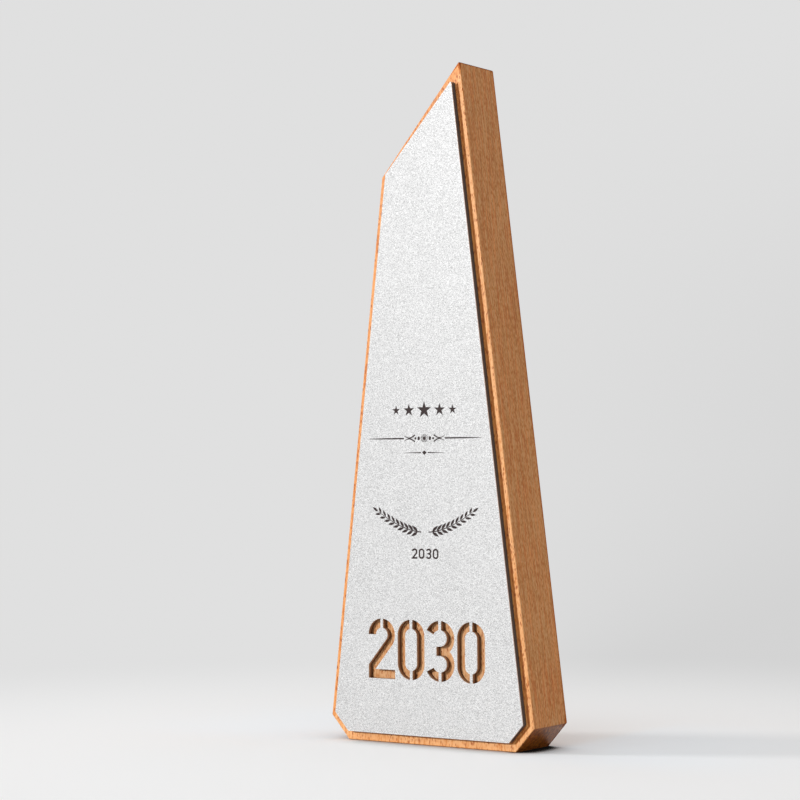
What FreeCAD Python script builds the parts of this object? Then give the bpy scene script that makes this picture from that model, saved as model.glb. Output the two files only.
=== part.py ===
import FreeCAD, Part
import Sketcher
import math
import os

# A free-standing wooden award plaque: a tapered beech block with a slanted crown and cut foot corners,
# and bonded to its front a thin panel of the same outline, silver skin on dark core board, through which
# large stencil numerals are cut down to the wood.
#
# Frame: +X to the right as seen from the front, +Y to the back, +Z up. The origin is at the middle of the
# block's foot, on the surface that it stands on. Every outline lies in the XZ plane, and every piece is
# padded along Y. All sizes are in millimetres and degrees.

DIMENSIONS = (
    ("block_height", 280, "foot to the tip of the crown"),
    ("block_width", 100, "widest, across the tops of the foot chamfers"),
    ("block_depth", 26, "front to back"),
    ("side_lean", 7, "lean of each side from upright, degrees"),
    ("foot_chamfer", 10, "leg of each cut foot corner, along the foot and up the side"),
    ("crown_drop", 45, "height lost along the slanted crown, tip to left shoulder"),
    ("block_corner", 0.8, "radius of the block's outline corners above its foot"),
    ("block_tip", 0.5, "radius of the tip of its crown"),
    ("front_ease", 0.5, "radius of the block's front arrises"),
    ("back_ease", 1.0, "radius of the block's back arrises"),
    ("rim_foot", 3.9, "wood showing below the panel"),
    ("rim_chamfer", 3.8, "wood showing beside the panel's cut corners"),
    ("rim_side", 3.5, "wood showing beside the panel's long sides"),
    ("rim_tip", 3.7, "wood showing above the panel's slanted top, at its upper end"),
    ("rim_shoulder", 2.2, "wood showing above the panel's slanted top, at its lower end"),
    ("panel_corner", 0.5, "radius of the panel's outline corners"),
    ("panel_tip", 0.3, "radius of the panel's tip"),
    ("adhesive_thick", 0.15, "thickness of the adhesive sheet"),
    ("core_thick", 2.1, "thickness of the core board"),
    ("skin_thick", 0.45, "thickness of the silver skin"),
    ("skin_ease", 0.12, "radius of the skin's front edge"),
    ("numeral_base", 26.6, "foot to the base line of the numerals"),
    ("numeral_height", 24.8, "height of a numeral"),
    ("numeral_width", 13.4, "width of a numeral"),
    ("stroke", 3.8, "width of a numeral's stroke"),
    ("bridge", 1.3, "panel left standing across a stroke, and between two numerals"),
    ("two_slope", 50, "slope of the diagonal of the 2, degrees from level"),
    ("three_hook", 26, "angle above level where each hook of the 3 ends, degrees"),
    ("three_waist", 1.7, "reach of the waist of the 3 to the left of its bowls' centres"),
)

NUMERALS = "2030"

# What the sketches work out from the driving dimensions.
CHAMFER_TOP = "(dims.foot_chamfer * cos(dims.side_lean * 1deg))"
FOOT_HALF = "(dims.block_width / 2 + dims.foot_chamfer * sin(dims.side_lean * 1deg) - dims.foot_chamfer)"
SHOULDER_UP = "(dims.block_height - dims.crown_drop)"
CAP_LINE = "(dims.numeral_base + dims.numeral_height)"
NUMERALS_WIDTH = f"({len(NUMERALS)} * (dims.numeral_width + dims.bridge) - dims.bridge)"

# Which point of a line or an arc a constraint holds.
START, END, CENTRE = 1, 2, 3
# The sketch's own origin and axes, as constraints name them.
ORIGIN = (-1, 1)


def make_sheet(doc):
    """The driving dimensions, one row each, with the dimension's name as the alias of its cell."""
    sheet = doc.addObject("Spreadsheet::Sheet", "dims")
    for row, (alias, value, meaning) in enumerate(DIMENSIONS, start=1):
        sheet.set(f"A{row}", meaning)
        sheet.set(f"B{row}", str(value))
        sheet.setAlias(f"B{row}", alias)
    doc.recompute()
    return sheet


class Drawing:
    """Lines and arcs in one sketch, placed and driven by expressions of the sheet's dimensions."""

    def __init__(self, sketch, sheet):
        self.sketch = sketch
        self.sheet = sheet

    def value(self, expression):
        """What an expression comes to now, as a plain number."""
        result = self.sheet.evalExpression(expression)
        return float(getattr(result, "Value", result))

    def constrain(self, *words):
        return self.sketch.addConstraint(Sketcher.Constraint(*words))

    def drive(self, kind, *words):
        """A constraint with a size. The last word is the expression that drives it."""
        *places, expression = words
        index = self.constrain(kind, *places, self.value(expression))
        self.sketch.setExpression(f"Constraints[{index}]", expression)

    def line(self, start, end, construction=False):
        ends = [FreeCAD.Vector(across, up, 0) for across, up in (start, end)]
        return self.sketch.addGeometry(Part.LineSegment(*ends), construction)

    def arc(self, centre, radius, first, last):
        """An arc drawn anticlockwise from the angle first to the angle last, in degrees. Its centre and
        its radius are expressions, and what it joins sets where it ends."""
        middle = FreeCAD.Vector(self.value(centre[0]), self.value(centre[1]), 0)
        circle = Part.Circle(middle, FreeCAD.Vector(0, 0, 1), self.value(radius))
        index = self.sketch.addGeometry(Part.ArcOfCircle(circle, math.radians(first), math.radians(last)))
        self.hold((index, CENTRE), *centre)
        self.drive("Radius", index, radius)
        return index

    def hold(self, point, across=None, up=None):
        """Drives a point's distance across and up from the sketch's origin."""
        if across is not None:
            self.drive("DistanceX", *ORIGIN, *point, across)
        if up is not None:
            self.drive("DistanceY", *ORIGIN, *point, up)

    def join(self, one, other, smooth=False):
        """Holds two ends together, and where it is smooth makes the one run into the other."""
        self.constrain("Tangent" if smooth else "Coincident", *one, *other)

    def chain(self, corners, construction=False):
        """A closed run of straight lines through the corners. Line i leaves corner i."""
        lines = [self.line(corner, corners[(i + 1) % len(corners)], construction)
                 for i, corner in enumerate(corners)]
        for i, index in enumerate(lines):
            self.join((index, END), (lines[(i + 1) % len(lines)], START))
        return lines

    def end_of(self, index, which):
        point = self.sketch.getPoint(index, which)
        return point.x, point.y

    def straight(self, one, other, across=None, up=None):
        """A line from one end of a curve to an end of another: upright where its distance across is
        given, level where its height is."""
        index = self.line(self.end_of(*one), self.end_of(*other))
        self.join((index, START), one)
        self.join((index, END), other)
        if across is not None:
            self.constrain("Vertical", index)
        if up is not None:
            self.constrain("Horizontal", index)
        self.hold((index, START), across, up)
        return index


def side_at(up):
    """Half the block's width at a height on its leaning sides."""
    return f"(dims.block_width / 2 - ({up} - {CHAMFER_TOP}) * tan(dims.side_lean * 1deg))"


def block_corners():
    """The block's six corners, across and up, anticlockwise from the left end of its foot."""
    return (
        (f"-{FOOT_HALF}", "0"),
        (FOOT_HALF, "0"),
        ("dims.block_width / 2", CHAMFER_TOP),
        (side_at("dims.block_height"), "dims.block_height"),
        (f"-{side_at(SHOULDER_UP)}", SHOULDER_UP),
        ("-dims.block_width / 2", CHAMFER_TOP),
    )


def draw_block_outline(drawing, construction=False):
    corners = block_corners()
    places = [(drawing.value(across), drawing.value(up)) for across, up in corners]
    lines = drawing.chain(places, construction)
    for index, (across, up) in zip(lines, corners):
        drawing.hold((index, START), across, up)
    return lines


def set_in(places, rims):
    """The corners of an outline drawn anticlockwise, each side moved inwards by its rims: one at the end
    where it starts and one at the end where it stops."""
    sides = []
    for i, (across, up) in enumerate(places):
        next_across, next_up = places[(i + 1) % len(places)]
        length = math.hypot(next_across - across, next_up - up)
        inward = ((up - next_up) / length, (next_across - across) / length)
        at_start, at_end = rims[i]
        run = next_across - across + inward[0] * (at_end - at_start)
        rise = next_up - up + inward[1] * (at_end - at_start)
        sides.append((across + inward[0] * at_start, up + inward[1] * at_start, run, rise))
    corners = []
    for i, (across, up, run, rise) in enumerate(sides):
        last_across, last_up, last_run, last_rise = sides[i - 1]
        turn = last_run * rise - last_rise * run
        reach = ((across - last_across) * rise - (up - last_up) * run) / turn
        corners.append((last_across + last_run * reach, last_up + last_rise * reach))
    return corners


def draw_panel_outline(drawing):
    """The panel's outline: both ends of each side a rim's width inside the block's. The rims are even but
    for the crown's, which widens towards the tip. The block's outline is drawn as construction lines to
    measure from."""
    rims = (
        ("dims.rim_foot", "dims.rim_foot"),
        ("dims.rim_chamfer", "dims.rim_chamfer"),
        ("dims.rim_side", "dims.rim_side"),
        ("dims.rim_tip", "dims.rim_shoulder"),
        ("dims.rim_side", "dims.rim_side"),
        ("dims.rim_chamfer", "dims.rim_chamfer"),
    )
    outer = draw_block_outline(drawing, construction=True)
    places = [drawing.end_of(index, START) for index in outer]
    inner = drawing.chain(set_in(places, [[drawing.value(rim) for rim in pair] for pair in rims]))
    for block_line, panel_line, (at_start, at_end) in zip(outer, inner, rims):
        drawing.drive("Distance", panel_line, START, block_line, at_start)
        drawing.drive("Distance", panel_line, END, block_line, at_end)


def degrees_at(opposite, hypotenuse):
    return math.degrees(math.asin(opposite / hypotenuse))


def draw_hook(drawing, centre, radius, upward, angle):
    """The left end of a bowl: a quarter band or so, from the bridge on the bowl's centre line round to
    where it ends square to its stroke, at the angle above level (below, in a bowl that opens upwards)."""
    inner_radius = f"({radius} - dims.stroke)"
    cap_across = f"({centre[0]} - dims.bridge / 2)"
    half_bridge = drawing.value("dims.bridge / 2")
    end_angle = drawing.value(angle)
    arcs = []
    for size in (radius, inner_radius):
        from_upright = degrees_at(half_bridge, drawing.value(size))
        first, last = (90 + from_upright, 180 - end_angle)
        if not upward:
            first, last = (180 + end_angle, 270 - from_upright)
        arcs.append(drawing.arc(centre, size, first, last))
    outer, inner = arcs
    at_bridge, at_end = (START, END) if upward else (END, START)
    drawing.straight((outer, at_bridge), (inner, at_bridge), across=cap_across)
    end_cap = drawing.straight((outer, at_end), (inner, at_end))
    sign = "" if upward else "-"
    drawing.hold((end_cap, START), up=f"{centre[1]} + {sign}{radius} * sin({angle} * 1deg)")
    drawing.constrain("PointOnObject", outer, CENTRE, end_cap)


def draw_zero(drawing, left):
    """Two halves of an upright ring with round ends, a bridge apart at the top and at the bottom."""
    radius = "(dims.numeral_width / 2)"
    middle = f"({left} + {radius})"
    top = f"({CAP_LINE} - {radius})"
    bottom = f"(dims.numeral_base + {radius})"
    for side in (-1, 1):
        cap_across = f"({middle} + {side} * dims.bridge / 2)"
        caps_from = []
        for size in (radius, f"({radius} - dims.stroke)"):
            from_upright = degrees_at(drawing.value("dims.bridge / 2"), drawing.value(size))
            if side < 0:
                upper = drawing.arc((middle, top), size, 90 + from_upright, 180)
                lower = drawing.arc((middle, bottom), size, 180, 270 - from_upright)
                caps_from.append(((upper, START), (lower, END)))
                wall = ((upper, END), (lower, START))
            else:
                upper = drawing.arc((middle, top), size, 0, 90 - from_upright)
                lower = drawing.arc((middle, bottom), size, 270 + from_upright, 360)
                caps_from.append(((upper, END), (lower, START)))
                wall = ((upper, START), (lower, END))
            index = drawing.line(drawing.end_of(*wall[0]), drawing.end_of(*wall[1]))
            drawing.join((index, START), wall[0], smooth=True)
            drawing.join((index, END), wall[1], smooth=True)
        for outer_end, inner_end in zip(*caps_from):
            drawing.straight(outer_end, inner_end, across=cap_across)


def draw_two(drawing, left):
    """A round bowl that runs into a straight diagonal and a level foot, with a bridge at its crown."""
    radius = "(dims.numeral_width / 2)"
    inner_radius = f"({radius} - dims.stroke)"
    centre = (f"({left} + {radius})", f"({CAP_LINE} - {radius})")
    draw_hook(drawing, centre, radius, True, "0")

    slope = drawing.value("dims.two_slope")
    half_bridge = drawing.value("dims.bridge / 2")
    arcs = []
    for size in (radius, inner_radius):
        from_upright = degrees_at(half_bridge, drawing.value(size))
        arcs.append(drawing.arc(centre, size, slope - 90, 90 - from_upright))
    outer, inner = arcs
    drawing.straight((outer, END), (inner, END), across=f"({centre[0]} + dims.bridge / 2)")

    base = drawing.value("dims.numeral_base")
    left_edge = drawing.value(left)
    right_edge = left_edge + drawing.value("dims.numeral_width")
    foot_top = base + drawing.value("dims.stroke")
    run_per_rise = 1 / math.tan(math.radians(slope))
    inner_across, inner_up = drawing.end_of(inner, START)
    outer_across, outer_up = drawing.end_of(outer, START)
    left_up = inner_up - (inner_across - left_edge) / run_per_rise
    notch_across = outer_across - (outer_up - foot_top) * run_per_rise

    corners = ((inner_across, inner_up), (left_edge, left_up), (left_edge, base), (right_edge, base),
               (right_edge, foot_top), (notch_across, foot_top), (outer_across, outer_up))
    diagonal, heel, foot, toe, ledge, back = [
        drawing.line(here, there) for here, there in zip(corners, corners[1:])]
    for one, other in ((diagonal, heel), (heel, foot), (foot, toe), (toe, ledge), (ledge, back)):
        drawing.join((one, END), (other, START))
    drawing.join((diagonal, START), (inner, START), smooth=True)
    drawing.join((back, END), (outer, START), smooth=True)
    drawing.constrain("Parallel", diagonal, back)
    drawing.drive("Angle", back, "dims.two_slope * 1deg")
    for index, kind in ((heel, "Vertical"), (toe, "Vertical"), (foot, "Horizontal"), (ledge, "Horizontal")):
        drawing.constrain(kind, index)
    drawing.hold((foot, START), left, "dims.numeral_base")
    drawing.hold((toe, END), f"({left} + dims.numeral_width)", "(dims.numeral_base + dims.stroke)")


def draw_three(drawing, left):
    """Two round bowls one above the other that share the stroke of the waist, with a bridge at the crown
    and one at the foot, and a hook left of each."""
    radius = "((dims.numeral_height + dims.stroke) / 4)"
    inner_radius = f"({radius} - dims.stroke)"
    middle = f"({left} + dims.numeral_width - {radius})"
    upper_centre = (middle, f"({CAP_LINE} - {radius})")
    lower_centre = (middle, f"(dims.numeral_base + {radius})")
    draw_hook(drawing, upper_centre, radius, True, "dims.three_hook")
    draw_hook(drawing, lower_centre, radius, False, "dims.three_hook")

    half_bridge = drawing.value("dims.bridge / 2")
    size = drawing.value(radius)
    outer_cap = degrees_at(half_bridge, size)
    inner_cap = degrees_at(half_bridge, drawing.value(inner_radius))
    notch = degrees_at(size - drawing.value("dims.stroke / 2"), size)
    upper_outer = drawing.arc(upper_centre, radius, -notch, 90 - outer_cap)
    lower_outer = drawing.arc(lower_centre, radius, outer_cap - 90, notch)
    upper_inner = drawing.arc(upper_centre, inner_radius, -90, 90 - inner_cap)
    lower_inner = drawing.arc(lower_centre, inner_radius, inner_cap - 90, 90)
    drawing.join((upper_outer, START), (lower_outer, END))
    cap_across = f"({middle} + dims.bridge / 2)"
    drawing.straight((upper_outer, END), (upper_inner, END), across=cap_across)
    drawing.straight((lower_outer, START), (lower_inner, START), across=cap_across)

    tip = drawing.value(f"{middle} - dims.three_waist")
    edges = []
    for curve in ((upper_inner, START), (lower_inner, END)):
        across, up = drawing.end_of(*curve)
        index = drawing.line((across, up), (tip, up))
        drawing.join((index, START), curve, smooth=True)
        drawing.constrain("Horizontal", index)
        edges.append((index, END))
    drawing.straight(*edges, across=f"({middle} - dims.three_waist)")


DRAW_NUMERAL = {"0": draw_zero, "2": draw_two, "3": draw_three}


def draw_numerals(drawing):
    """The numerals side by side, a bridge apart, centred across the block."""
    for place, numeral in enumerate(NUMERALS):
        left = f"({place} * (dims.numeral_width + dims.bridge) - {NUMERALS_WIDTH} / 2)"
        DRAW_NUMERAL[numeral](drawing, left)


def upright_sketch(body, name, sheet):
    """A sketch on the body's own XZ plane, seen from the front: across is +X and up is +Z."""
    plane = next(feature for feature in body.Origin.OriginFeatures if feature.Role == "XZ_Plane")
    sketch = body.newObject("Sketcher::SketchObject", name)
    sketch.AttachmentSupport = [(plane, "")]
    sketch.MapMode = "FlatFace"
    return sketch, Drawing(sketch, sheet)


def edges_where(shape, wanted):
    return [f"Edge{i}" for i, edge in enumerate(shape.Edges, start=1) if wanted(edge)]


def runs_through(edge):
    """True for a straight edge along Y, as at an outline's corner."""
    ends = [vertex.Point for vertex in edge.Vertexes]
    return len(ends) == 2 and abs((ends[1] - ends[0]).normalize().y) > 0.999


def lies_at(depth):
    """A test for an edge that lies all along in the plane at this Y."""
    near = 1e-6
    return lambda edge: abs(edge.BoundBox.YMin - depth) < near and abs(edge.BoundBox.YMax - depth) < near


def round_edges(body, name, base, wanted, alias):
    """A fillet on the edges of the base feature that pass the test, with its radius from the sheet."""
    body.Document.recompute()
    fillet = body.newObject("PartDesign::Fillet", name)
    fillet.Base = (base, edges_where(base.Shape, wanted))
    fillet.setExpression("Radius", f"dims.{alias}")
    return fillet


def round_outline(body, name, pad, drawing, corner_alias, tip_alias, crisp_below=0):
    """Rounds the tip of the crown, then the outline's other corners, each with its own radius. Corners
    lower than crisp_below stay crisp."""
    mid_crown = drawing.value("dims.block_height - dims.crown_drop / 2")
    tip = round_edges(body, f"{name}_tip", pad, lambda edge: runs_through(edge)
                      and edge.BoundBox.ZMin > mid_crown, tip_alias)
    return round_edges(body, f"{name}_corners", tip, lambda edge: runs_through(edge)
                       and crisp_below < edge.BoundBox.ZMin < mid_crown, corner_alias)


def make_wood_block(doc, sheet):
    """The solid beech block: its outline padded to both sides of the XZ plane, its outline's corners
    rounded, but for the two of the foot, where it stands on its full width, then its front and back
    arrises eased."""
    body = doc.addObject("PartDesign::Body", "wood_block")
    body.Label = "wood_block"
    sketch, drawing = upright_sketch(body, "block_outline", sheet)
    draw_block_outline(drawing)
    pad = body.newObject("PartDesign::Pad", "block_pad")
    pad.Profile = sketch
    pad.SideType = "Symmetric"
    pad.setExpression("Length", "dims.block_depth")
    half_depth = drawing.value("dims.block_depth / 2")
    mid_chamfer = drawing.value(f"{CHAMFER_TOP} / 2")
    rounded = round_outline(body, "block", pad, drawing, "block_corner", "block_tip", mid_chamfer)
    front = round_edges(body, "block_front_arris", rounded, lies_at(-half_depth), "front_ease")
    round_edges(body, "block_back_arris", front, lies_at(half_depth), "back_ease")
    doc.recompute()
    return body


def make_panel_layer(doc, sheet, name, thickness, behind, eased=False):
    """One layer of the panel: the panel's outline padded forwards from the layer's back, with its corners
    rounded, and the stencil numerals cut right through. Behind is the depth of the layers between it and
    the block's front."""
    body = doc.addObject("PartDesign::Body", name)
    body.Label = name
    sketch, drawing = upright_sketch(body, f"{name}_outline", sheet)
    draw_panel_outline(drawing)
    pad = body.newObject("PartDesign::Pad", f"{name}_pad")
    pad.Profile = sketch
    pad.setExpression("Length", thickness)
    blank = round_outline(body, name, pad, drawing, "panel_corner", "panel_tip")
    if eased:
        front = -drawing.value(thickness)
        blank = round_edges(body, f"{name}_front_edge", blank, lies_at(front), "skin_ease")
    doc.recompute()
    uncut = blank.Shape.Volume

    numerals, drawing = upright_sketch(body, f"{name}_numerals", sheet)
    draw_numerals(drawing)
    pocket = body.newObject("PartDesign::Pocket", f"{name}_cut")
    pocket.Profile = numerals
    pocket.Type = "ThroughAll"
    pocket.Reversed = True
    body.setExpression("Placement.Base.y", f"-dims.block_depth / 2 - ({behind})")
    doc.recompute()
    if pocket.Shape.Volume >= uncut:
        raise RuntimeError(f"{name}: the numerals were not cut")
    return body


def make_adhesive_sheet(doc, sheet):
    return make_panel_layer(doc, sheet, "adhesive_sheet", "dims.adhesive_thick", "0")


def make_panel_core(doc, sheet):
    return make_panel_layer(doc, sheet, "panel_core", "dims.core_thick", "dims.adhesive_thick")


def make_silver_skin(doc, sheet):
    behind = "dims.adhesive_thick + dims.core_thick"
    return make_panel_layer(doc, sheet, "silver_skin", "dims.skin_thick", behind, eased=True)


def check(doc, bodies):
    """Stops on any object that failed to build and on any piece that isn't one sound solid."""
    for item in doc.Objects:
        if "Invalid" in item.State or "Error" in item.State:
            raise RuntimeError(f"{item.Name} did not build: {item.State}")
        if item.isDerivedFrom("Sketcher::SketchObject") and item.solve() != 0:
            raise RuntimeError(f"{item.Name} can't be solved")
    for body in bodies:
        shape = body.Shape
        if shape.isNull() or not shape.isValid() or len(shape.Solids) != 1:
            raise RuntimeError(f"{body.Label} is not one valid solid")


def main():
    doc = FreeCAD.newDocument("plaque")
    sheet = make_sheet(doc)
    bodies = [make(doc, sheet)
              for make in (make_wood_block, make_adhesive_sheet, make_panel_core, make_silver_skin)]
    doc.recompute()
    check(doc, bodies)
    os.makedirs("parts", exist_ok=True)
    for body in bodies:
        box = body.Shape.BoundBox
        body.Shape.exportStep(f"parts/{body.Label}.step")
        print(f"{body.Label:16s} {body.Shape.Volume:10.1f} mm3  "
              f"X {box.XMin:.2f} to {box.XMax:.2f}  Y {box.YMin:.2f} to {box.YMax:.2f}  "
              f"Z {box.ZMin:.2f} to {box.ZMax:.2f}  {len(body.Shape.Faces)} faces")


main()
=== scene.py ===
import math

import bpy
import numpy as np
from mathutils import Matrix, Vector


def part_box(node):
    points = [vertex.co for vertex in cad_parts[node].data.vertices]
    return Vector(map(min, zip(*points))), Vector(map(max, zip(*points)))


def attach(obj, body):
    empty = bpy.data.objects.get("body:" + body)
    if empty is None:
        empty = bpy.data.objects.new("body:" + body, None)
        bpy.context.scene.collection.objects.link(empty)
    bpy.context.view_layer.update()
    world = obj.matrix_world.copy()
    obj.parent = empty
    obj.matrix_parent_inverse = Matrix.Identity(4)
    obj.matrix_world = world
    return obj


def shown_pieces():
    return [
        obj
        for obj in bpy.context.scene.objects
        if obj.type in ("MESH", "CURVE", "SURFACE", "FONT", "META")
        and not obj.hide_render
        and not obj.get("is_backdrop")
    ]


# A free-standing wooden award plaque: a tapered beech block with a slanted crown and cut foot corners, and
# on its front a thin panel, silver skin on dark core board, with stencil numerals cut through it and a few
# ornaments printed on it. Frame: +X right as seen from the front, +Y back, +Z up, origin mid foot.

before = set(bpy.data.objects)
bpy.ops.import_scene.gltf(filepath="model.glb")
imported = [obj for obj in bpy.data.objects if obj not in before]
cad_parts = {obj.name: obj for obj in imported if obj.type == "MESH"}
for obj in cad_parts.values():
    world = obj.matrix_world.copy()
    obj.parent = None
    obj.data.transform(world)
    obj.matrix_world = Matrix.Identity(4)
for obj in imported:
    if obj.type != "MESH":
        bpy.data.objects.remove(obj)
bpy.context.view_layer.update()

MM = 0.001

# The block's outline and the panel's, in millimetres and degrees, as they are cut.
BLOCK_HEIGHT = 280
BLOCK_WIDTH = 100
BLOCK_DEPTH = 26
SIDE_LEAN = 7
FOOT_CHAMFER = 10
CROWN_DROP = 45
HALF_DEPTH = BLOCK_DEPTH / 2
# Wood showing outside each side of the panel, at the side's start and at its end. The sides run
# anticlockwise from the foot, and the crown's and the left side's places among them are named.
PANEL_RIMS = ((3.9, 3.9), (3.8, 3.8), (3.5, 3.5), (3.7, 2.2), (3.5, 3.5), (3.8, 3.8))
BLOCK_RIMS = [(0, 0)] * len(PANEL_RIMS)
CROWN, LEFT = 3, 4

# An oblong round the numerals that are cut through the panel: half its width, its foot and its top.
NUMERALS_HALF = 30
NUMERALS_FOOT, NUMERALS_TOP = 25, 53
# How deep the core board starts and ends.
CORE_FRONT, CORE_BACK = [corner.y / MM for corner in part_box("panel_core")]
# The rings' pith, across and deep in mm, and how wide the rings are.
PITH = (-58, 74, 0)
RING_WIDTH = 2.9
# The rim's brown band, to the right of the panel and below it, is the panel's shadow painted on the rim,
# wider and darker than what the softbox casts. Each part of it is what the panel's outline covers when it
# is
# moved so far across and up, in mm: all of the band, its part below the panel's foot, the part in the
# panel's own cast shade, and the part past that cast shade, where the painted shadow is darkest and rough.
PAINTED_SHADOW_BAND = (1.85, -0.7)
PAINTED_FOOT_SHADOW = (0, -0.65)
SHADED_BAND = (0.7, -0.76)
ROUGH_PAINTED_SHADOW = (1.85, -0.6)

# The camera, in metres and degrees: its heading left of straight on, tilt above level and roll.
CAMERA_PLACE = (0.51027, -0.76221, 0.11463)
CAMERA_HEADING = 34.977
CAMERA_TILT = 1.705
CAMERA_ROLL = -0.389
CAMERA_LENS = 99.291
SENSOR_WIDTH = 36

# The light: how bright the room is, linear, with white at 1; the share by which it is dimmer low down
# towards its back right; the place that the softboxes look at, and how far off they are, in metres.
ROOM = 0.745
DIMMER = 0.12
DIM_SIDE = (0.819, 0.573, 0)
AIM = (0, 0, 0.14)
SOFTBOX_DISTANCE = 2.0


# ---------------------------------------------------------------- finishes

class Socket:
    """A value among some nodes. Sums written on it as in Python add the Math nodes that work them out."""

    def __init__(self, nodes, outlet):
        self.nodes = nodes
        self.outlet = outlet

    def maths(self, operation, *values):
        return self.nodes.node("ShaderNodeMath", {"operation": operation}, dict(enumerate(values)))

    def __add__(self, other):
        return self.maths("ADD", self, other)

    def __sub__(self, other):
        return self.maths("SUBTRACT", self, other)

    def __rsub__(self, other):
        return self.maths("SUBTRACT", other, self)

    def __mul__(self, other):
        return self.maths("MULTIPLY", self, other)

    def __truediv__(self, other):
        return self.maths("DIVIDE", self, other)

    def __pow__(self, other):
        return self.maths("POWER", self, other)

    def __abs__(self):
        return self.maths("ABSOLUTE", self)

    __radd__ = __add__
    __rmul__ = __mul__

    def least(self, other):
        return self.maths("MINIMUM", self, other)

    def most(self, other):
        return self.maths("MAXIMUM", self, other)

    def past_whole(self):
        return self.maths("FRACT", self)

    def from_to(self, low, high):
        """0 at low and 1 at high, with a smooth start and end. Low may be above high."""
        ends = {"Value": self, "From Min": low, "From Max": high}
        return self.nodes.node("ShaderNodeMapRange", {"interpolation_type": "SMOOTHSTEP"}, ends)


class Nodes:
    """The nodes of a finish or of the room's glow."""

    def __init__(self, tree):
        self.tree = tree

    def feed(self, node, inputs):
        for key, value in inputs.items():
            if isinstance(value, Socket):
                self.tree.links.new(value.outlet, node.inputs[key])
            else:
                node.inputs[key].default_value = value

    def node(self, kind, settings=None, inputs=None, outlet=0):
        """Adds a node: its settings first, then the values or links of its inputs. Gives one outlet."""
        made = self.tree.nodes.new(kind)
        for name, value in (settings or {}).items():
            if name == "stops":
                self.set_stops(made.color_ramp, value)
            else:
                setattr(made, name, value)
        self.feed(made, inputs or {})
        return Socket(self, made.outputs[outlet])

    @staticmethod
    def set_stops(ramp, stops):
        while len(ramp.elements) < len(stops):
            ramp.elements.new(0.5)
        for element, (position, colour) in zip(ramp.elements, stops):
            element.position = position
            element.color = (*colour, 1)

    def vector(self, operation, *values, **named):
        inputs = {**dict(enumerate(values)), **named}
        return self.node("ShaderNodeVectorMath", {"operation": operation}, inputs)

    def number(self, operation, *values):
        """A number worked out from vectors, such as a length."""
        return self.node("ShaderNodeVectorMath", {"operation": operation}, dict(enumerate(values)), 1)

    def part(self, vector, axis):
        return self.node("ShaderNodeSeparateXYZ", None, {0: vector}, axis)

    def mix(self, factor, first, second, blend="MIX"):
        """A colour between the first and the second."""
        inputs = {0: factor, 6: first, 7: second}
        return self.node("ShaderNodeMix", {"data_type": "RGBA", "blend_type": blend}, inputs, 2)

    def tint(self, colour, mask, by):
        """A colour, multiplied by another where the mask is 1."""
        return self.mix(mask, colour, (*by, 1), "MULTIPLY")

    def ramp(self, value, *stops):
        return self.node("ShaderNodeValToRGB", {"stops": stops}, {0: value})

    def red(self, colour):
        """How red a colour is. Of a cell's own colour, that is a number by chance."""
        return self.node("ShaderNodeSeparateColor", None, {0: colour})

    def matt(self, *colour):
        """A matt shader."""
        return self.node("ShaderNodeBsdfDiffuse", None, {"Color": (*colour, 1)})

    def blend(self, factor, first, second):
        """A shader between the first and the second."""
        return self.node("ShaderNodeMixShader", None, {0: factor, 1: first, 2: second})


class Finish(Nodes):
    """A material under way: its nodes, its shader, and the place on the piece in millimetres."""

    def __init__(self, name, steady):
        self.material = bpy.data.materials.new(name)
        self.material.use_nodes = True
        super().__init__(self.material.node_tree)
        self.shader = self.tree.nodes["Principled BSDF"]
        self.feed(self.shader, steady)
        metres = self.node("ShaderNodeTexCoord", outlet="Object")
        self.place = self.vector("SCALE", metres, Scale=1 / MM)
        self.across, self.deep, self.up = [self.part(self.place, axis) for axis in "XYZ"]

    def noise(self, per_mm, detail, place=None, outlet=0):
        """Cloudy noise about 0.5, with so many features to the millimetre across, deep and up."""
        stretched = self.vector("MULTIPLY", place or self.place, per_mm)
        inputs = {"Vector": stretched, "Scale": 1.0, "Detail": detail, "Roughness": 0.55}
        return self.node("ShaderNodeTexNoise", None, inputs, outlet)

    def cells(self, per_mm, place=None, outlet=0):
        """Scattered cells: the distance from the nearest one's middle, or at outlet 1 its own colour."""
        stretched = self.vector("MULTIPLY", place or self.place, per_mm)
        return self.node("ShaderNodeTexVoronoi", None, {"Vector": stretched, "Scale": 1.0}, outlet)

    def facing(self, axis):
        """1 on faces that look along an axis, either way, and 0 on faces that lie along it."""
        normal = self.node("ShaderNodeTexCoord", outlet="Normal")
        return abs(self.part(normal, axis)).from_to(0.3, 0.7)

    def surface(self, colour, roughness, height, relief):
        """Sets what varies over the surface: colour, roughness, and a bump of that relief in metres."""
        normal = self.node("ShaderNodeBump", None, {"Height": height, "Distance": relief})
        self.feed(self.shader, {"Base Color": colour, "Roughness": roughness, "Normal": normal})
        return self.material


def outline_corners():
    """The block's six corners, across and up in mm, anticlockwise from the left end of its foot."""
    lean = math.radians(SIDE_LEAN)
    half = BLOCK_WIDTH / 2
    chamfer_top = FOOT_CHAMFER * math.cos(lean)
    foot_half = half + FOOT_CHAMFER * math.sin(lean) - FOOT_CHAMFER

    def side_at(up):
        return half - (up - chamfer_top) * math.tan(lean)

    shoulder = BLOCK_HEIGHT - CROWN_DROP
    return [(-foot_half, 0), (foot_half, 0), (half, chamfer_top), (side_at(BLOCK_HEIGHT), BLOCK_HEIGHT),
            (-side_at(shoulder), shoulder), (-half, chamfer_top)]


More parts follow.
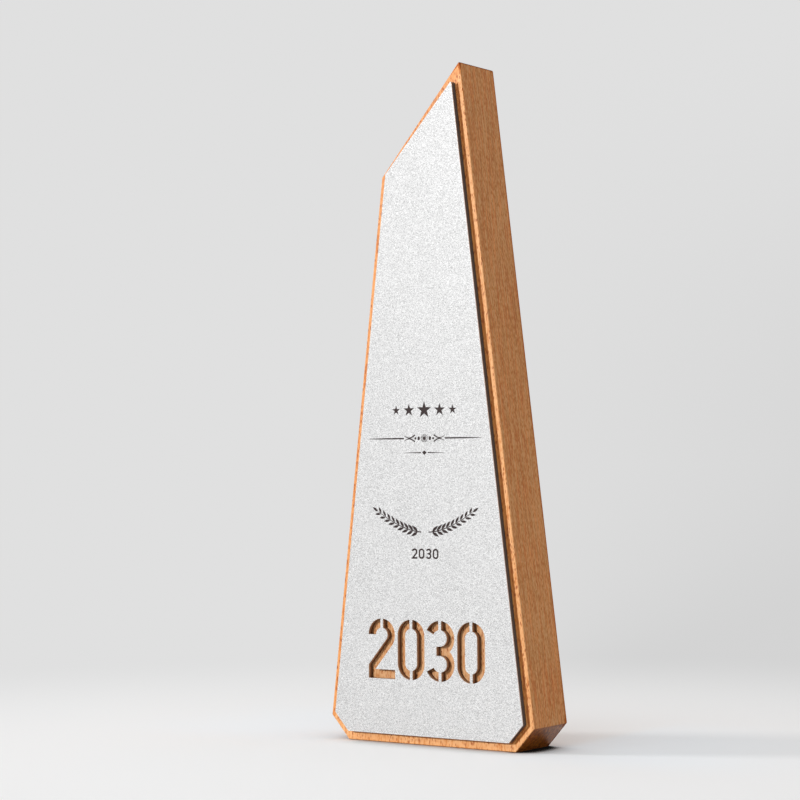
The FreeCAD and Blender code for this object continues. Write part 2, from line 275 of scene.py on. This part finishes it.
def side_distances(finish, rims, moved=(0, 0)):
    """How far inside each of the six sides a place is, in mm, with both ends of each side first moved in
    by their rims, and then the whole outline moved across and up."""
    corners = outline_corners()
    distances = []
    for i, (at_start, at_end) in enumerate(rims):
        start, end = Vector(corners[i]), Vector(corners[(i + 1) % len(corners)])
        inward = (end - start).orthogonal().normalized()
        start, end = start + inward * at_start, end + inward * at_end
        inward = (end - start).orthogonal().normalized()
        at_side = inward.dot(start + Vector(moved))
        distances.append(finish.across * inward.x + finish.up * inward.y - at_side)
    return distances


def least_of(sockets):
    least = sockets[0]
    for socket in sockets[1:]:
        least = least.least(socket)
    return least


def numerals_area(finish):
    """1 in the oblong round the numerals and 0 elsewhere."""
    inside = abs(finish.across).from_to(NUMERALS_HALF + 1, NUMERALS_HALF)
    inside = inside * finish.up.from_to(NUMERALS_FOOT - 1, NUMERALS_FOOT)
    return inside * finish.up.from_to(NUMERALS_TOP + 1, NUMERALS_TOP)


def lee_of_panel(finish, moved):
    """1 on what the panel's outline, moved across and up by so many mm, covers beyond the panel itself."""
    covered = least_of(side_distances(finish, PANEL_RIMS, moved)).from_to(-0.15, 0.15)
    return covered * least_of(side_distances(finish, PANEL_RIMS)).from_to(0, -0.02)


def arris_distance(finish):
    """How far a place on the block is from its nearest arris, in mm: the second smallest of its distances
    inside the block's eight faces."""
    faces = [finish.deep + HALF_DEPTH, HALF_DEPTH - finish.deep]
    faces += side_distances(finish, BLOCK_RIMS)
    nearest, second = faces[0].least(faces[1]), faces[0].most(faces[1])
    for face in faces[2:]:
        second = second.least(nearest.most(face))
        nearest = nearest.least(face)
    return second


class Beech(Finish):
    """Oiled beech with its grain upright, worked out in three dimensions: rings round a pith off to one
    side, long fibres, finer streaks along them, and short dark ray flecks."""

    def __init__(self):
        super().__init__("beech", {"Specular IOR Level": 0.25, "Coat Roughness": 0.22})
        sway = 7
        drift = self.noise((0.016, 0.016, 0.007), 1.0, outlet=1)
        drift = self.vector("MULTIPLY_ADD", drift, (sway, sway, 0), (-sway / 2, -sway / 2, 0))
        bent = self.vector("ADD", self.place, drift)
        from_pith = self.vector("MULTIPLY", self.vector("SUBTRACT", bent, PITH), (1, 1, 0))
        rings = self.number("LENGTH", from_pith) / RING_WIDTH
        late_wood = rings.past_whole() ** 3

        # The sides lean across the grain. There it is drawn out across the block, so that its fibres still
        # run along the sides.
        drawn_out = self.mix(self.facing("X"), (1, 1, 1, 1), (0.08, 1, 1, 1))
        straight = self.vector("MULTIPLY", bent, drawn_out)
        broad = self.noise((0.05, 0.05, 0.012), 2.0, bent)
        self.fibres = self.noise((1.5, 1.5, 0.06), 2.0, straight)
        self.streaks = self.noise((1.9, 1.9, 0.60), 1.0, straight)
        self.flush = self.noise((1.2, 1.2, 0.07), 2.0, straight).from_to(0.42, 0.66)
        fleck_size = (1.8, 1.8, 0.50)
        chosen = self.red(self.cells(fleck_size, bent, 1)).from_to(0.45, 0.6)
        self.flecks = self.cells(fleck_size, bent).from_to(0.45, 0.25) * chosen
        tone = 0.62 + (self.fibres - 0.5) * 2.7 + (self.streaks - 0.5) * 2.8 + (broad - 0.5) * 0.4
        self.tone = tone - late_wood * 0.12 - self.flecks * 0.6

    def planed(self):
        """The colour of the planed sides and back, flushed redder in long narrow patches."""
        colour = self.ramp(self.tone, (0.0, (0.365, 0.114, 0.012)), (0.5, (0.443, 0.184, 0.041)),
                           (1.0, (0.530, 0.255, 0.093)))
        return self.tint(colour, self.flush, (1.12, 0.89, 0.66))

    def front_colour(self, rough_painted_shadow):
        """The colour of the front: paler than the sides, partly as a painted sheen of the lit face; darker
        and greyer on the numerals' floors, as painted shade of their recesses; amber along the crown and
        the left side; and brown in the band beside the panel, which is the panel's painted shadow."""
        # This ramp is paler than the sides', partly as a painted sheen of the lit front.
        colour = self.ramp(self.tone, (0.0, (0.42, 0.150, 0.034)), (0.45, (0.505, 0.235, 0.088)),
                           (1.0, (0.555, 0.285, 0.120)))
        colour = self.tint(colour, self.flecks, (0.55, 0.35, 0.22))
        # Painted shade: the numerals' floors, down in their recesses, darker and greyer.
        colour = self.tint(colour, numerals_area(self), (0.78, 0.84, 0.95))
        inside = side_distances(self, BLOCK_RIMS)
        amber = inside[CROWN].from_to(6, 2).most(inside[LEFT].from_to(2.4, 1.2))
        colour = self.tint(colour, amber, (0.90, 0.76, 0.58))
        # Painted shadow of the panel on the rim: warmer over the whole band, darker below its foot,
        # darkest past the softbox's cast shade.
        colour = self.tint(colour, lee_of_panel(self, PAINTED_SHADOW_BAND), (1, 0.85, 0.62))
        colour = self.tint(colour, lee_of_panel(self, PAINTED_FOOT_SHADOW), (0.75, 0.55, 0.32))
        return self.tint(colour, rough_painted_shadow, (0.33, 0.26, 0.13))


def beech_finish():
    """The block: planed sides and back, a front paler partly by painted sheen, dark mottled end grain that
    shines at the foot and is dull on the crown, and arrises at the back and the tip painted dark, as
    painted shade where they turn away."""
    finish = Beech()
    # The part of the panel's painted shadow that lies past its cast shade: painted darkest, and rough.
    rough_painted_shadow = lee_of_panel(finish, ROUGH_PAINTED_SHADOW) * (1 - lee_of_panel(finish, SHADED_BAND))
    at_front = finish.deep.from_to(0.7 - HALF_DEPTH, 0.2 - HALF_DEPTH)
    colour = finish.mix(at_front, finish.planed(), finish.front_colour(rough_painted_shadow))

    end_grain = finish.facing("Z")
    pores = finish.noise((0.8, 0.8, 0.8), 3.0)
    soaked = finish.ramp(pores, (0.38, (0.27, 0.15, 0.03)), (0.62, (0.64, 0.47, 0.18)))
    colour = finish.mix(end_grain, colour, soaked, "MULTIPLY")

    from_arris = arris_distance(finish)
    # Painted shade: the arrises at the back and at the tip, where they turn away from the light, are
    # painted darker, the tip twice over.
    at_back = finish.deep.from_to(HALF_DEPTH - 3.5, HALF_DEPTH - 2) * from_arris.from_to(1.9, 0.9)
    at_tip = finish.up.from_to(BLOCK_HEIGHT - 6, BLOCK_HEIGHT - 2) * from_arris.from_to(1.05, 0.6)
    painted_arris_shade = at_back.most(at_tip)
    colour = finish.tint(colour, painted_arris_shade, (0.76, 0.56, 0.34))
    colour = finish.tint(colour, at_tip, (0.80, 0.70, 0.55))

    at_foot = finish.up.from_to(20, 12)
    worn = from_arris.from_to(1.1, 0.3) * (0.6 + finish.streaks * 0.6)
    shine = end_grain * at_foot * (0.2 + pores * 0.45) * (1 - painted_arris_shade) * (1 - worn)
    finish.feed(finish.shader, {"Coat Weight": shine})
    dull = painted_arris_shade.most(rough_painted_shadow).most(end_grain * (1 - at_foot))
    roughness = 0.43 + (finish.fibres - 0.5) * 0.2 + finish.flecks * 0.08 + dull * 0.45
    height = finish.streaks * 0.5 + finish.fibres * 0.4 - finish.flecks * 0.5
    return finish.surface(colour, roughness, height, 0.03 * MM)


def silver_finish():
    """Sandblasted silver: fine grains at two sizes and a few that sparkle, with a burnished outer edge."""
    finish = Finish("sandblasted_silver", {"Metallic": 1.0})
    grains = finish.noise((4.4, 4.4, 4.4), 1.0)
    pits = finish.red(finish.cells((5.0, 5.0, 5.0), outlet=1))
    cloud = finish.noise((0.03, 0.03, 0.03), 1.0)
    sparkle = finish.red(finish.cells((3.6, 3.6, 3.6), outlet=1)).from_to(0.95, 0.99)
    tone = 0.76 + (grains - 0.5) * 0.5 + (pits - 0.5) * 0.56 + (cloud - 0.5) * 0.04 + sparkle * 0.12
    burnished = least_of(side_distances(finish, PANEL_RIMS)).from_to(0.5, 0.1)
    tone = tone + burnished * 0.12
    colour = finish.ramp(tone, (0.0, (0, 0, 0)), (1.0, (1.0, 1.0, 1.0)))
    roughness = 0.56 + (grains - 0.5) * 0.2 - burnished * 0.15
    return finish.surface(colour, roughness, grains * 0.6 + pits * 0.4, 0.012 * MM)


def core_finish():
    """Core board: dark sealed outer edges, raw brown walls inside the numerals, painted darker towards
    their foot as shade in the recesses, fibres in thin layers."""
    finish = Finish("core_board", {"Specular IOR Level": 0.3})
    layers = finish.noise((0.25, 6.0, 0.25), 2.0)
    chips = finish.noise((2.2, 2.2, 2.2), 2.0)
    tone = 0.5 + (layers - 0.5) * 0.8 + (chips - 0.5) * 0.8
    sealed = finish.ramp(tone, (0.2, (0.047, 0.038, 0.032)), (0.8, (0.108, 0.092, 0.088)))
    raw = finish.ramp(tone, (0.2, (0.235, 0.115, 0.055)), (0.8, (0.42, 0.235, 0.128)))
    # Painted shade: the numerals' walls darker towards the wood at their foot.
    painted_wall_shade = finish.deep.from_to(CORE_FRONT + 0.4, CORE_BACK - 0.2)
    raw = finish.tint(raw, painted_wall_shade, (0.34, 0.23, 0.15))
    colour = finish.mix(numerals_area(finish), sealed, raw)
    roughness = 0.5 + (chips - 0.5) * 0.3
    return finish.surface(colour, roughness, layers * 0.5 + chips * 0.5, 0.03 * MM)


def adhesive_finish():
    """Dark adhesive, a little cloudy, with fine bubbles at its edge."""
    finish = Finish("adhesive", {"Specular IOR Level": 0.4})
    cloud = finish.noise((0.6, 0.6, 0.6), 2.0)
    bubbles = finish.cells((3.0, 3.0, 3.0)).from_to(0.3, 0.15)
    colour = finish.ramp(cloud + bubbles * 0.2, (0.3, (0.030, 0.020, 0.012)), (0.8, (0.075, 0.050, 0.032)))
    roughness = 0.35 + (cloud - 0.5) * 0.3
    return finish.surface(colour, roughness, cloud - bubbles, 0.02 * MM)


def ink_finish():
    """Dark brown-black ink that lies thin over the blasted grain."""
    finish = Finish("ink", {"Specular IOR Level": 0.12})
    grain = finish.noise((2.4, 2.4, 2.4), 2.0)
    colour = finish.ramp(grain, (0.25, (0.012, 0.008, 0.008)), (0.75, (0.032, 0.021, 0.020)))
    roughness = 0.6 + (grain - 0.5) * 0.3
    return finish.surface(colour, roughness, grain, 0.01 * MM)


def dress_cad_nodes():
    """Gives each CAD node its finish."""
    finishes = {"wood_block": beech_finish(), "silver_skin": silver_finish(),
                "panel_core": core_finish(), "adhesive_sheet": adhesive_finish()}
    for name, material in finishes.items():
        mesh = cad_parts[name].data
        mesh.materials.clear()
        mesh.materials.append(material)


# ---------------------------------------------------------------- print

# The print is a film that stands a little proud of the skin's front, its back just inside it.
SKIN_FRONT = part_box("silver_skin")[0].y / MM
INK_PROUD = 0.02
INK_SUNK = 0.01


class Print:
    """One printed design: closed films of ink, gathered from outlines across and up in millimetres."""

    def __init__(self, name):
        self.name = name
        self.corners = []
        self.faces = []
        self.count = 0

    def add(self, places, front_faces, loops):
        """One film. Its front faces and its edge loops run anticlockwise as seen from the front. Its back
        is the front turned over, and each edge of a loop gets a wall."""
        size = len(places)
        for depth in (SKIN_FRONT - INK_PROUD, SKIN_FRONT + INK_SUNK):
            self.corners.append(np.column_stack((places[:, 0], np.full(size, depth), places[:, 1])))
        self.faces += (front_faces + self.count).tolist()
        self.faces += (front_faces[:, ::-1] + self.count + size).tolist()
        for loop in loops:
            ahead = np.roll(loop, -1)
            walls = np.column_stack((loop, loop + size, ahead + size, ahead)) + self.count
            self.faces += walls.tolist()
        self.count += 2 * size

    def fan(self, outline):
        """A shape whose whole outline shows from its middle: triangles from the middle to each side."""
        ahead = np.roll(outline, -1, axis=0)
        turn = (outline[:, 0] * ahead[:, 1] - outline[:, 1] * ahead[:, 0]).sum()
        if turn < 0:
            outline = outline[::-1]
        size = len(outline)
        ring = np.arange(size)
        faces = np.column_stack((np.full(size, size), ring, np.roll(ring, -1)))
        self.add(np.vstack((outline, outline.mean(axis=0))), faces, [ring])

    def stroke(self, path, half_width, closed=False):
        """A stroke along a path: each point moved to both sides, along the line that halves the turn
        there, by the half width over the cosine of half the turn, held where the turn is sharp."""
        ahead = np.roll(path, -1, axis=0) - path
        behind = np.roll(ahead, 1, axis=0)
        if not closed:
            ahead[-1] = behind[-1]
            behind[0] = ahead[0]
        left_ahead, left_behind = left_of(ahead), left_of(behind)
        halving = left_ahead + left_behind
        halving /= np.linalg.norm(halving, axis=1, keepdims=True)
        sharpest = 0.42
        cosine = np.maximum((halving * left_ahead).sum(axis=1), sharpest)
        reach = halving * (half_width / cosine)[:, None]
        size = len(path)
        near = np.arange(size if closed else size - 1)
        far = (near + 1) % size
        faces = np.column_stack((near, far, far + size, near + size))
        right_loop, left_loop = np.arange(size), np.arange(size)[::-1] + size
        loops = [right_loop, left_loop] if closed else [np.concatenate((right_loop, left_loop))]
        self.add(np.vstack((path - reach, path + reach)), faces, loops)

    def finish(self, material):
        """Makes the mesh, in metres, and lets it ride on the plaque."""
        mesh = bpy.data.meshes.new(self.name)
        mesh.from_pydata((np.vstack(self.corners) * MM).tolist(), [], self.faces)
        mesh.materials.append(material)
        mesh.update()
        piece = bpy.data.objects.new(self.name, mesh)
        bpy.context.scene.collection.objects.link(piece)
        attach(piece, "root")


def left_of(directions):
    """Unit vectors a quarter turn to the left of each direction."""
    turned = np.column_stack((-directions[:, 1], directions[:, 0]))
    return turned / np.linalg.norm(turned, axis=1, keepdims=True)


def arc_points(centre, radius_across, radius_up, first, last, count):
    """Points on an arc of an ellipse, from the first angle to the last, in degrees."""
    angles = np.radians(np.linspace(first, last, count))
    across, up = radius_across * np.cos(angles), radius_up * np.sin(angles)
    return np.column_stack((centre[0] + across, centre[1] + up))


def star_outline(centre, radius):
    """A five-pointed star: points at the radius and notches between them where the points' sides cross."""
    notch = math.sin(math.radians(18)) / math.sin(math.radians(54))
    angles = np.radians(90 + 36 * np.arange(10))
    reach = radius * np.where(np.arange(10) % 2, notch, 1)
    return np.column_stack((centre[0] + reach * np.cos(angles), centre[1] + reach * np.sin(angles)))


def leaf_outline(base, direction, length, width):
    """A leaf: from its base along its direction, its half width the sine of half a turn from base to tip,
    widest a little before the middle."""
    along = np.linspace(0, 1, 9)
    half = np.sin(np.pi * along ** 0.85) * width / 2
    along = np.concatenate((along, along[-2:0:-1])) * length
    aside = np.concatenate((-half, half[-2:0:-1]))
    unit = np.array((math.cos(direction), math.sin(direction)))
    left = np.array((-unit[1], unit[0]))
    return np.asarray(base) + np.outer(along, unit) + np.outer(aside, left)


def both_sides(outline):
    """An outline and its mirror image across the panel's middle."""
    return outline, outline * (-1, 1)


def both_places(across):
    """A place to the left of the panel's middle and its mirror image, or the middle alone."""
    return (-across, across) if across else (0,)


def print_stars(material):
    """Five stars in a row, larger towards the middle, where a title would stand."""
    design = Print("printed_stars")
    height = 137.4
    for place, radius in ((0, 3.7), (7.6, 2.8), (14.0, 2.1)):
        for across in both_places(place):
            design.fan(star_outline((across, height), radius))
    design.finish(material)


def print_divider(material):
    """A divider: tapered rules to both sides, a crossed flourish inside each, dots, and a small rosette.
    From its crossing, the flourish's two lines part both ways by powers of the distance."""
    design = Print("printed_divider")
    height = 125.8
    rule_start, rule_end, points = 10.1, 28.0, 12
    rule = np.column_stack((np.linspace(rule_start, rule_end, points), np.full(points, height)))
    taper = 0.30 * (1 - 0.75 * np.linspace(0, 1, points) ** 3)
    for path in both_sides(rule):
        design.stroke(path, taper)
    crossing, wide_end, thin_end = 7.4, 4.7, 9.9
    run = np.linspace(wide_end, thin_end, 25)
    inner = np.clip((crossing - run) / (crossing - wide_end), 0, 1)
    outer = np.clip((run - crossing) / (thin_end - crossing), 0, 1)
    rise = 0.17 + 1.25 * inner ** 1.7 + 0.85 * outer ** 1.9
    weight = 0.22 + 0.08 * inner - 0.12 * outer
    for above in (1, -1):
        flourish = np.column_stack((run, height + above * rise))
        for path in both_sides(flourish):
            design.stroke(path, weight)
    round_dot, upright_dot, rosette_core = (4.4, 0.48, 0.48), (2.75, 0.60, 0.80), (0, 0.78, 0.78)
    for place, radius_across, radius_up in (round_dot, upright_dot, rosette_core):
        for across in both_places(place):
            design.fan(arc_points((across, height), radius_across, radius_up, 0, 345, 24))
    petal_root, petal_length, petal_width, ring = 0.86, 0.56, 0.34, 1.56
    for angle in np.radians(15 + 30 * np.arange(12)):
        root = (petal_root * math.cos(angle), height + petal_root * math.sin(angle))
        design.fan(leaf_outline(root, angle, petal_length, petal_width))
    design.stroke(arc_points((0, height), ring, ring, 0, 350, 36), np.full(36, 0.08), closed=True)
    design.finish(material)


def print_rule(material):
    """A short tapered rule with a lozenge at its middle, under the divider."""
    design = Print("printed_rule")
    height = 119.9
    rule_start, rule_end, points = 1.7, 9.9, 9
    rule = np.column_stack((np.linspace(rule_start, rule_end, points), np.full(points, height)))
    for path in both_sides(rule):
        design.stroke(path, np.linspace(1, 0.2, points) * 0.24)
    half_across, half_up = 1.15, 0.95
    lozenge = ((half_across, 0), (0, half_up), (-half_across, 0), (0, -half_up))
    design.fan(np.array(lozenge) + (0, height))
    design.finish(material)


def print_sprigs(material):
    """Two laurel sprigs that rise from the middle to both sides: a stem whose height goes as a power of
    its run, paired leaves that get shorter along it, and a leaf at its end."""
    design = Print("printed_sprigs")
    start, end, foot, rise, power = 1.8, 23.2, 87.4, 8.2, 1.7
    run = end - start

    def stem_at(share):
        return np.stack((start + run * share, foot + rise * share ** power), axis=-1)

    def heading_at(share):
        return math.atan2(rise * power * share ** (power - 1), run)

    stem = stem_at(np.linspace(0, 1, 30))
    for path in both_sides(stem):
        design.stroke(path, np.linspace(0.24, 0.12, len(stem)))
    spread, gap, plumpness = math.radians(33), 0.42, 0.34
    for share in np.linspace(0.07, 0.93, 9):
        for side in (-1, 1):
            aside = heading_at(share) + side * spread
            base = stem_at(share) + gap * np.array((math.cos(aside), math.sin(aside)))
            length = 3.7 - 0.9 * share
            for outline in both_sides(leaf_outline(base, aside, length, plumpness * length)):
                design.fan(outline)
    end_leaf = leaf_outline(stem[-1] + (0.3, 0.12), heading_at(1), length=3.2, width=1.05)
    for outline in both_sides(end_leaf):
        design.fan(outline)
    design.finish(material)


def print_date(material):
    """Four small plain numerals."""
    design = Print("printed_date")
    height, width, stroke, gap, foot = 4.3, 2.8, 0.72, 0.66, 76.4
    half = stroke / 2
    bowl = (width - stroke) / 2
    top = height - half - bowl
    middle = width / 2
    zero = np.vstack((arc_points((middle, top), bowl, bowl, 0, 180, 13),
                      arc_points((middle, half + bowl), bowl, bowl, 180, 360, 13)))
    heel, toe = half * 1.3, width - 0.05
    two = np.vstack((arc_points((middle, top), bowl, bowl, 165, -42, 14),
                     ((heel, half), (toe, half))))
    lobe, waist = (height - stroke) / 4, width * 0.42
    three = np.vstack((arc_points((middle, height - half - lobe), bowl, lobe, 155, -66, 13),
                       ((waist, height / 2),),
                       arc_points((middle, half + lobe), bowl, lobe, 66, -155, 13)))
    left = -(4 * width + 3 * gap) / 2
    numerals = ((two, False), (zero, True), (three, False), (zero, True))
    for place, (path, closed) in enumerate(numerals):
        moved = path + (left + place * (width + gap), foot)
        design.stroke(moved, np.full(len(path), half), closed)
    design.finish(material)


def print_designs():
    material = ink_finish()
    print_stars(material)
    print_divider(material)
    print_rule(material)
    print_sprigs(material)
    print_date(material)


# ---------------------------------------------------------------- stage, light and camera

def room_glow(nodes, direction, low):
    """The room's glow towards a direction: even, but dimmer towards its dim side where low is 1."""
    aside = nodes.number("DOT_PRODUCT", direction, DIM_SIDE)
    return ROOM * (1 - aside.from_to(-0.05, 0.34) * low * DIMMER)


def floor_finish():
    """Near the plaque, matt white card in the studio's light. Further out, the glow of the room behind
    it, so that no edge or horizon shows."""
    steady = {"Base Color": (0, 0, 0, 1), "Specular IOR Level": 0, "Emission Strength": 1}
    finish = Finish("floor_card", steady)
    outwards = finish.vector("NORMALIZE", finish.place)
    finish.feed(finish.shader, {"Emission Color": room_glow(finish, outwards, 1)})
    glow = Socket(finish, finish.shader.outputs[0])

    # Beside the block the card is painted a little cooler, to cancel the warm light that the wood's sides
    # bounce onto it.
    aside = abs(finish.across)
    painted_cool_card = aside.from_to(42, 56) * aside.from_to(180, 70)
    painted_cool_card = painted_cool_card * finish.deep.from_to(-50, 0) * finish.deep.from_to(130, 50)
    card = finish.blend(painted_cool_card, finish.matt(0.915, 0.915, 0.915), finish.matt(0.905, 0.94, 0.97))

    middle_of_card = (40, -50, 0)
    distance = finish.number("LENGTH", finish.vector("SUBTRACT", finish.place, middle_of_card))
    shader = finish.blend(distance.from_to(120, 500), card, glow)

    # Painted shade, added to the lamps' own: dark where the block closes it in, deeply so under the right
    # foot chamfer, and slightly along the rest of the foot but for its left end.
    openness = finish.node("ShaderNodeAmbientOcclusion", None, {"Distance": 22 * MM}, "AO")
    closed = openness.from_to(0.62, 0.34) * finish.across.from_to(34, 42)
    dimmed = openness.from_to(0.85, 0.5) * finish.across.from_to(-44, -30) * 0.25
    shader = finish.blend(closed.most(dimmed), shader, finish.matt(0.02, 0.02, 0.02))
    finish.feed(finish.tree.nodes["Material Output"], {"Surface": shader})
    return finish.material


def make_floor():
    """A wide level floor, in metres. It reaches further back than forwards, so that the line between its
    two triangles is far from the plaque."""
    reach, front, back = 60, -30, 90
    corners = [(-reach, front, 0), (reach, front, 0), (reach, back, 0), (-reach, back, 0)]
    mesh = bpy.data.meshes.new("floor")
    mesh.from_pydata(corners, [], [(0, 1, 2, 3)])
    mesh.materials.append(floor_finish())
    floor = bpy.data.objects.new("floor", mesh)
    bpy.context.scene.collection.objects.link(floor)
    floor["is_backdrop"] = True
    return floor


def make_room():
    """The room's glow all round, which fades to even above its low part."""
    world = bpy.data.worlds.new("studio")
    bpy.context.scene.world = world
    world.use_nodes = True
    nodes = Nodes(world.node_tree)
    direction = nodes.node("ShaderNodeTexCoord", outlet="Generated")
    low = nodes.part(direction, "Z").from_to(0.2, 0)
    nodes.feed(nodes.tree.nodes["Background"], {"Color": room_glow(nodes, direction, low)})


def make_softbox(name, azimuth, elevation, size, card):
    """A square softbox that looks at the plaque. Azimuth is degrees left of straight on, and card is how
    bright it makes a white card that faces it from the plaque's place."""
    light = bpy.data.lights.new(name, "AREA")
    light.size = size
    light.energy = card * math.pi ** 2 * SOFTBOX_DISTANCE ** 2
    softbox = bpy.data.objects.new(name, light)
    bpy.context.scene.collection.objects.link(softbox)
    turn, rise = math.radians(azimuth), math.radians(elevation)
    towards = Vector((-math.sin(turn) * math.cos(rise), -math.cos(turn) * math.cos(rise), math.sin(rise)))
    softbox.location = Vector(AIM) + SOFTBOX_DISTANCE * towards
    softbox.rotation_euler = towards.to_track_quat("Z", "Y").to_euler()
    return softbox


def light_only(softbox, pieces):
    """Keeps a softbox's light to some pieces, as flags round it do."""
    lit = bpy.data.collections.new(f"lit_by_{softbox.name}")
    for piece in pieces:
        lit.objects.link(piece)
    softbox.light_linking.receiver_collection = lit


def make_lights(floor):
    """The silver skin mirrors its softbox, so it has one of its own, and the others leave it out."""
    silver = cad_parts["silver_skin"]
    others = [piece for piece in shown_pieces() if piece != silver]
    left = make_softbox("left_softbox", azimuth=62, elevation=20, size=0.35, card=0.34)
    light_only(left, [*others, floor])
    front = make_softbox("front_softbox", azimuth=14, elevation=15, size=0.3, card=1.18)
    light_only(front, others)
    panel = make_softbox("panel_softbox", azimuth=11, elevation=24, size=0.35, card=0.29)
    light_only(panel, [silver])
    top = make_softbox("top_softbox", azimuth=10, elevation=60, size=1.2, card=0.07)
    light_only(top, [floor])


def make_camera():
    """The camera, turned to its heading, then tilted, then rolled."""
    data = bpy.data.cameras.new("camera")
    data.lens = CAMERA_LENS
    data.sensor_width = SENSOR_WIDTH
    camera = bpy.data.objects.new("camera", data)
    bpy.context.scene.collection.objects.link(camera)
    heading = Matrix.Rotation(math.radians(CAMERA_HEADING), 4, "Z")
    tilt = Matrix.Rotation(math.radians(90 + CAMERA_TILT), 4, "X")
    roll = Matrix.Rotation(math.radians(CAMERA_ROLL), 4, "Z")
    camera.matrix_world = Matrix.Translation(CAMERA_PLACE) @ heading @ tilt @ roll
    bpy.context.scene.camera = camera


make_camera()
dress_cad_nodes()
print_designs()
make_room()
make_lights(make_floor())
bpy.context.scene.view_settings.view_transform = "Standard"
